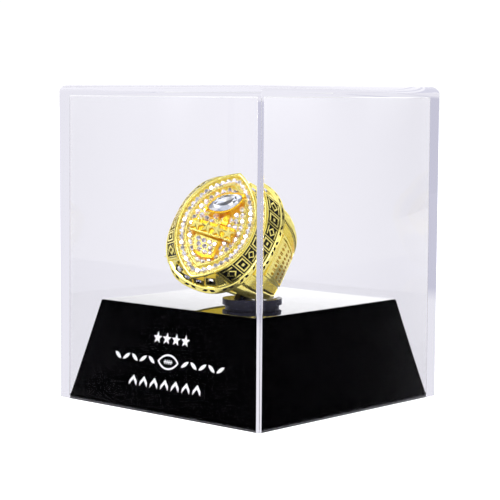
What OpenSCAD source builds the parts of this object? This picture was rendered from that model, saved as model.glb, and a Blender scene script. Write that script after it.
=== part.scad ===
// Small collectible display case: a clear moulded cover over a black tapered base,
// with a pin-fixed holder that carries a gold-coloured football championship ring.
// Millimetres, +Z up, origin on the table under the centre of the base, front face toward -Y.

/* [Case cover] */
// outer width and depth of the clear cover
cover_width = 60; // [50:0.5:80]
// outer height of the clear cover
cover_height = 70; // [55:0.5:95]
// wall thickness at the open rim
wall_rim = 2.0; // [1.5:0.1:3]
// wall thickness under the top panel (the walls are drafted for moulding)
wall_top = 2.2; // [2:0.1:4]
// thickness of the top panel
top_panel = 2.5; // [2:0.1:4]
// chamfer of the four upper outer edges
top_chamfer = 1.1; // [0.3:0.1:2]

/* [Base] */
// width of the base top
base_top_width = 46.2; // [36:0.1:52]
// width of the base at the table
base_foot_width = 55.8; // [46:0.1:75]
// height of the base
base_height = 22.2; // [14:0.1:30]
// wall thickness of the hollow base
base_wall = 2.4; // [1.6:0.1:4]
// thickness of the closing plate under the base
plate_thick = 0.8; // [0.6:0.1:2]
// distance of the closing screws from the centre lines
plate_screw_pitch = 19; // [12:0.5:22]
// outer diameter of the screw posts inside the base
post_diameter = 6; // [5:0.5:8]

/* [Engraving] */
// depth of the engraved rows in the front face
engrave_depth = 0.25; // [0.1:0.05:0.6]
// height of the engraved marks
engrave_height = 2.7; // [1.5:0.1:4]
// distance between the engraved rows, measured along the sloping face
engrave_pitch = 4.9; // [4:0.1:8]
// height of the middle row along the sloping face
engrave_middle = 10.3; // [8:0.1:14]
// sideways place of the rows on the face
engrave_shift = 0.7; // [-5:0.1:5]

/* [Ring holder] */
// sideways place of the holder on the base top
holder_x = 10.4; // [-12:0.1:14]
// front-to-back place of the holder on the base top
holder_y = -10.8; // [-14:0.1:12]
// diameter of the neck that stands on the base
neck_diameter = 9.6; // [7:0.1:12]
// height of the neck
neck_height = 0.8; // [0.5:0.1:4]
// diameter of the round seat
seat_diameter = 10.8; // [9:0.1:16]
// thickness of the round seat
seat_thick = 1.3; // [0.8:0.05:3]
// radial thickness of the curved tongue inside the ring
tongue_thick = 1.4; // [1:0.1:3]
// half angle of the curved tongue
tongue_angle = 24; // [12:1:40]
// height of the tongue's end above the middle of the ring
tongue_top = 3.5; // [0:0.5:7]

/* [Ring] */
// inside diameter of the ring
ring_bore = 19.6; // [17:0.1:22]
// outside diameter across the back of the ring
ring_outside = 23.6; // [22:0.1:26]
// half of the band's width at the back
band_half_width = 5.8; // [3:0.1:8]
// distance from the bore's axis to the face of the ring
face_height = 14; // [12:0.1:17]
// half length of the pointed-oval bezel
bezel_half_length = 12.94; // [10:0.02:15]
// half width of the pointed-oval bezel
bezel_half_width = 8.4; // [6:0.1:11]
// half length of the skirt under the bezel
skirt_half_length = 12.85; // [10:0.05:15]
// half width of the skirt under the bezel
skirt_half_width = 10.35; // [8:0.05:13]
// height of the skirt's lower edge above the bore's axis
skirt_level = 10; // [8.6:0.1:12]
// turn of the ring about the vertical
ring_yaw = 32.6; // [-60:0.1:60]
// lean-back of the ring
ring_pitch = 27; // [0:0.1:60]
// tilt of the ring in its own face
ring_roll = -20.37; // [-45:0.1:45]
// centre of the ring's bore above the base
ring_centre = [2.18, -8.8, 34.09];

/* [Ring details] */
// diameter of the small round stones
stone_diameter = 1.0; // [0.8:0.05:1.6]
// spacing of the small round stones
stone_pitch = 1.22; // [1:0.02:2]
// thickness of the enamel in the side panels
enamel_thick = 0.35; // [0.2:0.05:0.8]
// how far raised details stand above their ground
relief = 0.3; // [0.15:0.05:0.8]
// half length of the large pointed-oval stone
star_stone_half_length = 4.3; // [3:0.1:5]
// half width of the large pointed-oval stone
star_stone_half_width = 1.85; // [1.2:0.05:2.4]

/* [Hidden] */

round_faces = 64;
overlap = 0.01;
slack = 0.05;
black = [0.02, 0.02, 0.025];
gold = [0.93, 0.72, 0.2];
clear = [0.92, 0.94, 1, 0.3];
crystal = [0.93, 0.94, 1];

half_cover = cover_width / 2;
cavity_top = cover_height - top_panel;
base_run = (base_foot_width - base_top_width) / 2;
shell_height = base_height - plate_thick;
face_slope = atan(base_run / shell_height);
face_length = sqrt(base_run * base_run + shell_height * shell_height);
post_height = shell_height - base_wall;
screw_radius = 1.2;
screw_head_radius = 2.2;
screw_head_height = 0.45;
screw_length = 7;

seat_bottom = base_height + neck_height;
seat_top = seat_bottom + seat_thick;
holder_screw_radius = 1.25;
holder_head_radius = 2.4;
holder_head_height = 1.6;

bore_radius = ring_bore / 2;
back_radius = ring_outside / 2;
band_top = 8.4;
rim_width = 0.55;
inner_length = bezel_half_length - 2.75;
inner_width = bezel_half_width - 2.05;
bed_level = face_height - 0.6;
rim_level = face_height + 0.25;
stone_height = 0.5;
skirt_power = 2.35;
border_drop = 0.55;
plinth_grow = 0.75;
end_level = 12;
shoulder_floor = 11.15;
groove_floor = -9.6;
groove_inner = 9.6;
groove_outer = 12.9;

// a square frustum standing on the XY plane
module frustum(low, high, height) {
    cylinder(r1 = low / sqrt(2), r2 = high / sqrt(2), h = height, $fn = 4);
}

// a square block with tapering sides, lined up with the axes
module tapered_block(low, high, height) {
    rotate([0, 0, 45])
        frustum(low, high, height);
}

// points of a pointed oval with half length a along Y and half width b
function oval_radius(a, b) = (a * a + b * b) / (2 * b);
function oval_half(a, b, n) = [for (i = [0 : n])
    let (r = oval_radius(a, b), t = asin(a / r) * (2 * i / n - 1))
    [r * cos(t) - (r - b), r * sin(t)]];
function oval(a, b, n = 14) = concat(oval_half(a, b, n),
    [for (i = [1 : n - 1]) let (p = oval_half(a, b, n)[n - i]) [-p[0], p[1]]]);

// points of the rounded outline of the skirt
function signed_power(v, p) = sign(v) * pow(abs(v), p);
function skirt(grow = 0, n = 40) = [for (i = [0 : n - 1])
    let (t = 360 * (i + 0.5) / n)
    [(skirt_half_width + grow) * signed_power(cos(t), 2 / skirt_power),
     (skirt_half_length + grow) * signed_power(sin(t), 2 / skirt_power)]];

// moves ring coordinates (X across, Y along the finger, Z out of the face) to the display pose
module in_ring() {
    translate(ring_centre)
        rotate([0, 0, ring_yaw])
            rotate([-ring_pitch, 0, 0])
                rotate([0, -ring_roll, 0])
                    rotate([90, 0, 0])
                        children();
}

// a cylinder along the finger axis of the ring
module along_finger(radius, low, high) {
    translate([0, low, 0])
        rotate([-90, 0, 0])
            cylinder(r = radius, h = high - low, $fn = round_faces);
}

// lays a drawing on the sloping front face: X across, Y up the slope, Z out of the face
module on_front() {
    translate([0, -base_foot_width / 2, plate_thick])
        rotate([90 - face_slope, 0, 0])
            children();
}

module cover() {
    color(clear)
        difference() {
            translate([-half_cover, -half_cover, 0])
                cube([cover_width, cover_width, cover_height]);
            translate([0, 0, -overlap])
                tapered_block(cover_width - 2 * wall_rim, cover_width - 2 * wall_top, cavity_top + overlap);
            for (turn = [0 : 90 : 270])
                rotate([0, 0, turn])
                    translate([half_cover, 0, cover_height])
                        rotate([0, 45, 0])
                            cube([top_chamfer * sqrt(2), 2 * cover_width, top_chamfer * sqrt(2)], center = true);
        }
}

module screw_places() {
    for (sx = [-1, 1])
        for (sy = [-1, 1])
            translate([sx * plate_screw_pitch, sy * plate_screw_pitch, 0])
                children();
}

module base_shell() {
    color(black)
        difference() {
            union() {
                difference() {
                    translate([0, 0, plate_thick])
                        tapered_block(base_foot_width, base_top_width, shell_height);
                    translate([0, 0, plate_thick - overlap])
                        tapered_block(base_foot_width - 2 * base_wall, base_top_width - 2 * base_wall,
                            shell_height - base_wall + overlap);
                }
                intersection() {
                    screw_places()
                        translate([0, 0, plate_thick])
                            cylinder(d = post_diameter, h = post_height + overlap, $fn = round_faces);
                    translate([0, 0, plate_thick])
                        tapered_block(base_foot_width, base_top_width, shell_height);
                }
            }
            screw_places()
                translate([0, 0, plate_thick - overlap])
                    cylinder(r = screw_radius + slack, h = screw_length + 1, $fn = 24);
            translate([holder_x, holder_y, base_height - base_wall - 1])
                cylinder(r = holder_screw_radius + 0.2, h = base_wall + 2, $fn = 24);
            engraving_rows(-engrave_depth, overlap);
        }
}

module bottom_plate() {
    color(black)
        difference() {
            translate([-base_foot_width / 2, -base_foot_width / 2, 0])
                cube([base_foot_width, base_foot_width, plate_thick]);
            screw_places()
                translate([0, 0, -overlap])
                    cylinder(r = screw_radius + 0.15, h = plate_thick + 1, $fn = 24);
            screw_places()
                translate([0, 0, -overlap])
                    cylinder(r = screw_head_radius + 0.1, h = screw_head_height + slack, $fn = 32);
        }
}

module plate_screws() {
    color([0.5, 0.5, 0.52])
        screw_places() {
            translate([0, 0, 0.05])
                cylinder(r = screw_head_radius, h = screw_head_height - 0.05, $fn = 32);
            cylinder(r = screw_radius, h = screw_length, $fn = 24);
        }
}

// one five-pointed star drawn flat
module star(radius) {
    polygon([for (i = [0 : 9])
        let (r = i % 2 == 0 ? radius : radius * 0.42)
        [r * sin(i * 36), r * cos(i * 36)]]);
}

module stars_row() {
    for (i = [-1.5 : 1 : 1.5])
        translate([i * engrave_height * 1.03, 0])
            star(engrave_height / 2);
}

module football_row() {
    h = engrave_height;
    difference() {
        rotate([0, 0, 90])
            polygon(oval(h * 1.15, h * 0.62));
        rotate([0, 0, 90])
            polygon(oval(h * 0.98, h * 0.48));
    }
    square([h * 0.95, h * 0.09], center = true);
    for (i = [-1.5 : 1 : 1.5])
        translate([i * h * 0.22, 0])
            square([h * 0.08, h * 0.34], center = true);
    for (s = [-1, 1])
        for (i = [0 : 4])
            translate([s * h * (1.85 + i * 0.96), 0])
                rotate([0, 0, 90 + s * (i % 2 == 0 ? 35 : -35)])
                    polygon(oval(h * 0.46, h * 0.15, 6));
}

module chevrons_row() {
    h = engrave_height;
    for (i = [-3 : 3])
        translate([i * h * 1.18, 0])
            polygon([[-h * 0.42, -h * 0.42], [0, h * 0.08], [h * 0.42, -h * 0.42],
                [h * 0.42, -h * 0.08], [0, h * 0.42], [-h * 0.42, -h * 0.08]]);
}

module engraved_row(step, low, high) {
    on_front()
        translate([engrave_shift, engrave_middle + step * engrave_pitch, low])
            linear_extrude(height = high - low)
                children();
}

module engraving_rows(low, high) {
    engraved_row(1, low, high)
        stars_row();
    engraved_row(0, low, high)
        football_row();
    engraved_row(-1, low, high)
        chevrons_row();
}

module engraved_stars() {
    color([0.9, 0.9, 0.9])
        engraved_row(1, -engrave_depth, 0)
            stars_row();
}

module engraved_football() {
    color([0.9, 0.9, 0.9])
        engraved_row(0, -engrave_depth, 0)
            football_row();
}

module engraved_chevrons() {
    color([0.9, 0.9, 0.9])
        engraved_row(-1, -engrave_depth, 0)
            chevrons_row();
}

module holder_seat() {
    color(black)
        difference() {
            translate([holder_x, holder_y, base_height]) {
                cylinder(d = neck_diameter, h = neck_height, $fn = round_faces);
                translate([0, 0, neck_height])
                    cylinder(d = seat_diameter, h = seat_thick, $fn = round_faces);
            }
            translate([holder_x, holder_y, base_height - overlap])
                cylinder(r = holder_screw_radius + slack, h = neck_height + seat_thick + 1, $fn = 24);
            in_ring()
                difference() {
                    along_finger(groove_outer, groove_floor, 10);
                    along_finger(groove_inner, groove_floor - 1, 11);
                }
        }
}

// the curved tongue follows the inside of the ring and stands on the seat
module holder_tongue() {
    outer = bore_radius - 0.1;
    far = bore_radius * 1.6;
    color(black)
        difference() {
            intersection() {
                in_ring()
                    difference() {
                        along_finger(outer, -13, tongue_top);
                        along_finger(outer - tongue_thick, -14, tongue_top + 1);
                        for (s = [-1, 1])
                            rotate([0, s * (90 + tongue_angle), 0])
                                translate([0, -20, -far])
                                    cube([far, 40, 2 * far]);
                    }
                translate([holder_x, holder_y, seat_top])
                    cylinder(r = 14, h = 30, $fn = round_faces);
            }
            translate([holder_x, holder_y, seat_top - 1])
                cylinder(r = holder_screw_radius + slack, h = 2.6, $fn = 24);
        }
}

module holder_screw() {
    color([0.5, 0.5, 0.52])
        translate([holder_x, holder_y, base_height - base_wall - holder_head_height]) {
            cylinder(r = holder_head_radius, h = holder_head_height, $fn = 32);
            cylinder(r = holder_screw_radius, h = holder_head_height + base_wall + neck_height + seat_thick - 0.2,
                $fn = 24);
        }
}

// outline of the band seen along the finger axis
band_front = [[0, -back_radius], [3.1, -11.4], [6.0, -10.4], [8.3, -8.7], [10.0, -6.9], [11.3, -4.5],
    [11.8, -2], [11.9, 0.5], [11.7, 3], [11.3, 5.4], [10.7, 7.2], [10.0, band_top]];
band_outline = concat(band_front, [for (i = [len(band_front) - 1 : -1 : 1]) [-band_front[i][0], band_front[i][1]]]);
// half width of the band against height, seen from the side
band_side = [[band_half_width, -back_radius - 1], [band_half_width, -9.6], [6.0, -7.5], [6.4, -4.5], [7.2, -2],
    [8.2, 0.5], [9.0, 3], [9.8, 5.6], [10.3, band_top]];
band_side_outline = concat(band_side, [for (i = [len(band_side) - 1 : -1 : 0]) [-band_side[i][0], band_side[i][1]]]);

module ring_band() {
    color(gold)
        in_ring()
            difference() {
                intersection() {
                    translate([0, 20, 0])
                        rotate([90, 0, 0])
                            linear_extrude(height = 40)
                                polygon(band_outline);
                    translate([-20, 0, 0])
                        rotate([90, 0, 90])
                            linear_extrude(height = 40)
                                polygon(band_side_outline);
                }
                along_finger(bore_radius, -30, 30);
                shoulder_pockets(1);
                shoulder_pockets(-1);
            }
}

// solid under the sloping skirt, shrunk all round by inset
module skirt_body(inset) {
    hull() {
        translate([0, 0, skirt_level])
            linear_extrude(height = overlap)
                polygon(skirt(-inset));
        translate([0, 0, bed_level - overlap])
            linear_extrude(height = overlap)
                polygon(oval(bezel_half_length - inset, bezel_half_width - inset));
    }
}

// wedge that keeps only one long side of the skirt
module side_window(side, reach) {
    scale([side, 1, 1])
        translate([0, 0, skirt_level + 0.35])
            linear_extrude(height = bed_level - skirt_level - 0.75)
                polygon([[1, -reach * 0.35], [14, -reach * 1.15], [14, reach * 1.15], [1, reach * 0.35]]);
}

module ring_head() {
    color(gold)
        in_ring()
            difference() {
                union() {
                    difference() {
                        skirt_body(0);
                        side_panel(1);
                        side_panel(-1);
                    }
                    translate([0, 0, band_top])
                        linear_extrude(height = skirt_level - border_drop - band_top)
                            polygon(skirt(plinth_grow));
                    translate([0, 0, band_top])
                        linear_extrude(height = skirt_level - band_top + overlap)
                            polygon(skirt(-0.4));
                }
                along_finger(bore_radius, -30, 30);
            }
}

// the pocket in one sloping side that takes the enamel
module side_panel(side) {
    intersection() {
        difference() {
            skirt_body(-1);
            skirt_body(enamel_thick);
        }
        side_window(side, 9.6);
    }
}

module enamel_side(side) {
    color([0.01, 0.01, 0.01])
        in_ring()
            intersection() {
                difference() {
                    skirt_body(0);
                    skirt_body(enamel_thick);
                }
                side_window(side, 9.6);
            }
}

// stepped fret of raised bars, drawn in the YZ plane of one side
module fret_marks() {
    low = skirt_level + 0.35;
    high = bed_level - 0.4;
    tall = high - low;
    bar = 0.42;
    for (i = [-3 : 3])
        translate([i * 2.35, low + tall / 2]) {
            difference() {
                square([1.65, tall * 0.72], center = true);
                square([1.65 - 2 * bar, tall * 0.72 - 2 * bar], center = true);
            }
            if (i < 3)
                translate([1.175, 0])
                    square([0.3, tall], center = true);
        }
}

module fret_side(side) {
    color(gold)
        in_ring()
            intersection() {
                difference() {
                    skirt_body(-relief);
                    skirt_body(0);
                }
                side_window(side, 9.6);
                scale([side, 1, 1])
                    rotate([90, 0, 90])
                        linear_extrude(height = 14)
                            fret_marks();
            }
}

module enamel_right() {
    enamel_side(1);
}

module enamel_left() {
    enamel_side(-1);
}

module fret_right() {
    fret_side(1);
}

module fret_left() {
    fret_side(-1);
}

module skirt_border() {
    color(gold)
        in_ring()
            translate([0, 0, skirt_level - border_drop])
                linear_extrude(height = border_drop - overlap)
                    difference() {
                        polygon(skirt(0.35));
                        polygon(skirt(-0.4));
                    }
}

module oval_frame(length, width, thick, low, high) {
    translate([0, 0, low])
        linear_extrude(height = high - low)
            difference() {
                polygon(oval(length, width, 20));
                polygon(oval(length - thick * 1.45, width - thick, 20));
            }
}

module bezel_rim() {
    color(gold)
        in_ring()
            oval_frame(bezel_half_length, bezel_half_width, rim_width, bed_level, rim_level);
}

module inner_rim() {
    color(gold)
        in_ring()
            oval_frame(inner_length, inner_width, rim_width * 0.8, bed_level, rim_level);
}

// one round stone seen as a low brilliant cut
module small_stone(diameter = stone_diameter) {
    cylinder(d1 = diameter, d2 = diameter * 0.6, h = stone_height, $fn = 8);
}

halo_length = (bezel_half_length - rim_width * 1.45 + inner_length) / 2;
halo_width = (bezel_half_width - rim_width + inner_width) / 2;
halo_radius = oval_radius(halo_length, halo_width);
halo_angle = asin(halo_length / halo_radius);
halo_count = floor(2 * halo_angle * PI / 180 * halo_radius / stone_pitch);

module halo_stones() {
    color(crystal)
        in_ring()
            for (s = [-1, 1])
                for (i = [0 : halo_count - 1])
                    let (t = halo_angle * (2 * (i + 0.5) / halo_count - 1))
                        translate([s * (halo_radius * cos(t) - (halo_radius - halo_width)),
                            halo_radius * sin(t), bed_level])
                            small_stone();
}

// true where the pave field is free of the trophy
function inside_oval(x, y, a, b) =
    let (r = oval_radius(a, b)) abs(x) < b && pow(abs(x) + r - b, 2) + y * y < r * r;
function on_trophy(x, y) =
    (abs(x) < 5.3 && y > -3.6 && y < 0.8)
    || (abs(x - 0.3) < 3.7 && y < -3.0 && y > -8.4)
    || (let (u = x * cos(41) + (y - 4.9) * sin(41), v = -x * sin(41) + (y - 4.9) * cos(41))
        abs(u) < star_stone_half_length + 0.5 && abs(v) < star_stone_half_width + 0.6)
    || (abs(x - 1.7) < 1.1 && y > 0 && y < 2.4);

module pave_stones() {
    color(crystal)
        in_ring()
            for (j = [-8 : 8])
                for (i = [-6 : 6]) {
                    x = (i + (j % 2 == 0 ? 0 : 0.5)) * stone_pitch;
                    y = j * stone_pitch * 0.94;
                    if (inside_oval(x, y, inner_length - 1.3, inner_width - 0.85) && !on_trophy(x, y))
                        translate([x, y, bed_level])
                            small_stone();
                }
}

module end_stones() {
    color(crystal)
        in_ring()
            for (s = [-1, 1])
                for (x = [-3.5, -1.25, 1.25, 3.5])
                    translate([x, s * (12.62 - abs(x) * 0.33), end_level - 0.9])
                        rotate([-s * 62, 0, 0])
                            cylinder(d1 = 1.7, d2 = 1.1, h = 0.9, $fn = 8);
}

module trophy_pedestal() {
    color(gold)
        in_ring() {
            translate([0, 0, bed_level])
                linear_extrude(height = 1.2)
                    difference() {
                        polygon([[-3.3, -3.4], [2.9, -3.4], [2.75, -7.5], [0.4, -7.95], [-1.9, -7.5]]);
                        polygon([[-2.7, -3.9], [2.35, -3.9], [2.25, -7.0], [0.4, -7.35], [-1.5, -7.0]]);
                    }
            translate([1.7, 1.6, bed_level])
                cylinder(d = 1.1, h = 1.9, $fn = 24);
        }
}

module pedestal_stones() {
    color(crystal)
        in_ring()
            for (p = [[-1.9, -4.5], [-0.75, -4.5], [0.4, -4.5], [1.55, -4.5], [-1.3, -5.6], [-0.15, -5.6],
                [1.0, -5.6], [-0.6, -6.65], [0.55, -6.7], [1.7, -6.4]])
                translate([p[0], p[1], bed_level])
                    small_stone();
}

module star_banner() {
    color(gold)
        in_ring()
            translate([0, -1.5, bed_level + 1.25])
                rotate([0, 0, 4]) {
                    linear_extrude(height = 0.9)
                        polygon([[-4.9, -1.5], [4.9, -1.5], [4.9, 1.5], [-4.9, 1.2]]);
                    translate([0, 0, 0.9])
                        for (i = [-1.5 : 1 : 1.5])
                            translate([i * 2.35, -0.05, 0])
                                linear_extrude(height = relief)
                                    star(1.15);
                }
}

module tilted_oval() {
    translate([0.2, 4.9, 0])
        rotate([0, 0, -49])
            children();
}

module stone_setting() {
    color(gold)
        in_ring()
            translate([0, 0, bed_level])
                tilted_oval() {
                    linear_extrude(height = 1.4)
                        polygon(oval(star_stone_half_length - 0.9, star_stone_half_width - 0.6));
                    translate([0, 0, 1.4])
                        linear_extrude(height = 0.6)
                            difference() {
                                polygon(oval(star_stone_half_length + 0.45, star_stone_half_width + 0.3));
                                polygon(oval(star_stone_half_length - 0.6, star_stone_half_width - 0.35));
                            }
                }
}

module large_stone() {
    color(crystal)
        in_ring()
            translate([0, 0, bed_level + 2])
                tilted_oval()
                    hull() {
                        linear_extrude(height = 0.2)
                            polygon(oval(star_stone_half_length, star_stone_half_width, 8));
                        translate([0, 0, 0.8])
                            linear_extrude(height = overlap)
                                polygon(oval(star_stone_half_length * 0.62, star_stone_half_width * 0.55, 8));
                    }
}

// flat recess for the shoulder panel, cut square into one side of the band
module shoulder_pockets(side) {
    scale([side, 1, 1])
        translate([shoulder_floor, 0, -0.2])
            rotate([0, 90, 0])
                linear_extrude(height = 4)
                    polygon([[3.2, -4.4], [3.2, 4.4], [-4.2, 6.6], [-4.2, -6.6]]);
}

module shoulder_side(side) {
    color(gold)
        in_ring()
            scale([side, 1, 1])
                translate([shoulder_floor, 0, -0.2])
                    rotate([0, 90, 0]) {
                        linear_extrude(height = 0.25)
                            polygon([[3.1, -4.3], [3.1, 4.3], [-4.1, 6.45], [-4.1, -6.45]]);
                        translate([0, 0, 0.25])
                            for (i = [-2 : 2])
                                translate([-1.9, i * 2.1])
                                    linear_extrude(height = 0.2)
                                        star(0.85);
                        translate([0, 0, 0.25])
                            linear_extrude(height = 0.2)
                                for (v = [0.2, 1.6])
                                    translate([v, 0])
                                        square([0.4, 7.4], center = true);
                    }
}

module shoulder_right() {
    shoulder_side(1);
}

module shoulder_left() {
    shoulder_side(-1);
}

cover();
base_shell();
bottom_plate();
plate_screws();
engraved_stars();
engraved_football();
engraved_chevrons();
holder_seat();
holder_tongue();
holder_screw();
ring_band();
ring_head();
skirt_border();
bezel_rim();
inner_rim();
halo_stones();
pave_stones();
end_stones();
trophy_pedestal();
pedestal_stones();
star_banner();
stone_setting();
large_stone();
enamel_right();
enamel_left();
fret_right();
fret_left();
shoulder_right();
shoulder_left();
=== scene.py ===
import math
import random

import bmesh
import bpy
from mathutils import Matrix, Vector


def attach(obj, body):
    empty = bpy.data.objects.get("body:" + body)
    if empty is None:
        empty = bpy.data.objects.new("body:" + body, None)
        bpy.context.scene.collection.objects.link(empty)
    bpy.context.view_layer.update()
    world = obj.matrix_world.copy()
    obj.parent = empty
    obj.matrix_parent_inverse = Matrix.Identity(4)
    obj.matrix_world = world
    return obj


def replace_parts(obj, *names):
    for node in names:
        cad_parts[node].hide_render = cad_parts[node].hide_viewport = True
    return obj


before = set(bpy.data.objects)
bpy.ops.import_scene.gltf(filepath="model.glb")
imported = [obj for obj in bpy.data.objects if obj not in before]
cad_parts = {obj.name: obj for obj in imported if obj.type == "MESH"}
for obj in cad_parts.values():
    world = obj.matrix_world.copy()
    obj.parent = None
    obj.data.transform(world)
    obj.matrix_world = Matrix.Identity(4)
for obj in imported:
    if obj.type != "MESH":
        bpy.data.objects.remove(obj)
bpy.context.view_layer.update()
mm = 0.001

print("case parts loaded")

# the sizes of the case, in millimetres, as the model has them
caseSizes = {
    "width": 60.0, "height": 70.0, "wallRim": 2.0, "wallTop": 2.2, "topPanel": 2.5,
    "edgeRound": 0.15, "topRound": 1.6, "innerRound": 0.15,
    "baseTop": 46.2, "baseFoot": 55.8, "baseHeight": 22.2, "plate": 0.8,
}

# where the ring stands and how it leans
ringPlace = {"centre": (2.18, -8.8, 34.09), "yaw": 32.6, "pitch": 27.0, "roll": -20.37}

ringSizes = {
    "bore": 9.8, "bed": 13.4, "rimTop": 14.25,
    "ovalLength": 12.94, "ovalWidth": 8.4, "innerLength": 10.19, "innerWidth": 6.35,
    "skirtLength": 12.85, "skirtWidth": 10.35, "skirtPower": 2.35, "skirtLevel": 10.0, "skirtTop": 13.9,
}


def turn(axis, degrees):
    return Matrix.Rotation(math.radians(degrees), 4, axis)


ringMatrix = (Matrix.Translation(Vector(ringPlace["centre"])) @ turn("Z", ringPlace["yaw"])
              @ turn("X", -ringPlace["pitch"]) @ turn("Y", -ringPlace["roll"]) @ turn("X", 90))
upright = Matrix.Identity(4)


def newMaterial(name):
    mat = bpy.data.materials.new(name)
    mat.use_nodes = True
    nodes = mat.node_tree.nodes
    nodes.clear()
    out = nodes.new("ShaderNodeOutputMaterial")
    shader = nodes.new("ShaderNodeBsdfPrincipled")
    mat.node_tree.links.new(shader.outputs[0], out.inputs[0])
    return mat, nodes, mat.node_tree.links, shader, out


def noiseNode(nodes, links, scale, detail=3.0, rough=0.5):
    coords = nodes.new("ShaderNodeTexCoord")
    noise = nodes.new("ShaderNodeTexNoise")
    noise.inputs["Scale"].default_value = scale
    noise.inputs["Detail"].default_value = detail
    noise.inputs["Roughness"].default_value = rough
    links.new(coords.outputs["Object"], noise.inputs["Vector"])
    return noise


def ramp(nodes, links, source, stops):
    node = nodes.new("ShaderNodeValToRGB")
    bar = node.color_ramp
    while len(bar.elements) < len(stops):
        bar.elements.new(0.5)
    for element, (place, colour) in zip(bar.elements, stops):
        element.position = place
        element.color = colour if len(colour) == 4 else (*colour, 1)
    links.new(source, node.inputs["Fac"])
    return node


def spread(nodes, links, source, low, high):
    node = nodes.new("ShaderNodeMapRange")
    node.inputs["To Min"].default_value = low
    node.inputs["To Max"].default_value = high
    links.new(source, node.inputs["Value"])
    return node


def bumpFrom(nodes, links, source, shader, strength, distance):
    bump = nodes.new("ShaderNodeBump")
    bump.inputs["Strength"].default_value = strength
    bump.inputs["Distance"].default_value = distance
    links.new(source, bump.inputs["Height"])
    links.new(bump.outputs[0], shader.inputs["Normal"])


def goldMaterial(name, light, deep, roughLow, roughHigh, grain=900, lift=0.0):
    mat, nodes, links, shader, _ = newMaterial(name)
    shader.inputs["Metallic"].default_value = 1.0
    cloud = noiseNode(nodes, links, grain, 4.0, 0.6)
    colour = ramp(nodes, links, cloud.outputs["Fac"], [(0.3, deep), (0.62, light)])
    links.new(colour.outputs[0], shader.inputs["Base Color"])
    rough = spread(nodes, links, cloud.outputs["Fac"], roughLow, roughHigh)
    links.new(rough.outputs[0], shader.inputs["Roughness"])
    # emission in the gold's own colour makes it glow faintly (lift): painted light
    links.new(colour.outputs[0], shader.inputs["Emission Color"])
    shader.inputs["Emission Strength"].default_value = lift
    fine = noiseNode(nodes, links, 5200, 2.0)
    bumpFrom(nodes, links, fine.outputs["Fac"], shader, 0.12, 0.00003)
    return mat


def glossBlack(name, colour, roughLow, roughHigh, coat=0.0, level=0.5):
    mat, nodes, links, shader, _ = newMaterial(name)
    cloud = noiseNode(nodes, links, 60, 5.0, 0.6)
    tone = ramp(nodes, links, cloud.outputs["Fac"], [(0.3, colour), (0.7, tuple(c * 1.35 for c in colour))])
    links.new(tone.outputs[0], shader.inputs["Base Color"])
    rough = spread(nodes, links, cloud.outputs["Fac"], roughLow, roughHigh)
    links.new(rough.outputs[0], shader.inputs["Roughness"])
    shader.inputs["Coat Weight"].default_value = coat
    shader.inputs["Specular IOR Level"].default_value = level
    shader.inputs["Coat Roughness"].default_value = 0.02
    return mat


def clearMaterial(name, tint, ior, guided, roughness=0.0, shadowClear=True):
    mat, nodes, links, shader, out = newMaterial(name)
    cloud = noiseNode(nodes, links, 12, 2.0)
    pale = tuple(min(1.0, c + 0.004) for c in tint)
    colour = ramp(nodes, links, cloud.outputs["Fac"], [(0.3, tint), (0.7, pale)])
    links.new(colour.outputs[0], shader.inputs["Base Color"])
    shader.inputs["Transmission Weight"].default_value = 1.0
    shader.inputs["IOR"].default_value = ior
    shader.inputs["Roughness"].default_value = roughness
    if shadowClear:  # light passes the cover without a heavy shadow
        path = nodes.new("ShaderNodeLightPath")
        through = nodes.new("ShaderNodeBsdfTransparent")
        mix = nodes.new("ShaderNodeMixShader")
        links.new(path.outputs["Is Shadow Ray"], mix.inputs[0])
        # rays that have bounced inside the cover's walls more than once see a flat glow instead of clear
        # plastic: painted light in the walls, darker on the front, right and back walls, lighter on the left
        # wall, the top panel and the low part below 20.5 mm
        deep = nodes.new("ShaderNodeMath")
        deep.operation = "GREATER_THAN"
        deep.inputs[1].default_value = 1.5
        links.new(path.outputs["Glossy Depth"], deep.inputs[0])
        paintedWallGlow = nodes.new("ShaderNodeEmission")
        paintedWallGlow.inputs[0].default_value = guided[0]
        place = nodes.new("ShaderNodeTexCoord")
        split = nodes.new("ShaderNodeSeparateXYZ")
        links.new(place.outputs["Object"], split.inputs[0])
        factor = None
        for socket, low, high in ((0, -0.0274, -0.0279), (2, 0.0664, 0.067), (2, 0.0235, 0.0205)):
            step = nodes.new("ShaderNodeMapRange")
            step.inputs["From Min"].default_value = low
            step.inputs["From Max"].default_value = high
            links.new(split.outputs[socket], step.inputs["Value"])
            if factor is None:
                factor = step.outputs[0]
            else:
                more = nodes.new("ShaderNodeMath")
                more.operation = "MAXIMUM"
                links.new(factor, more.inputs[0])
                links.new(step.outputs[0], more.inputs[1])
                factor = more.outputs[0]
        shade = ramp(nodes, links, factor, [(0.0, guided[0]), (1.0, guided[1])])
        links.new(shade.outputs[0], paintedWallGlow.inputs[0])
        guide = nodes.new("ShaderNodeMixShader")
        links.new(deep.outputs[0], guide.inputs[0])
        links.new(shader.outputs[0], guide.inputs[1])
        links.new(paintedWallGlow.outputs[0], guide.inputs[2])
        links.new(guide.outputs[0], mix.inputs[1])
        links.new(through.outputs[0], mix.inputs[2])
        links.new(mix.outputs[0], out.inputs[0])
    return mat


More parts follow.
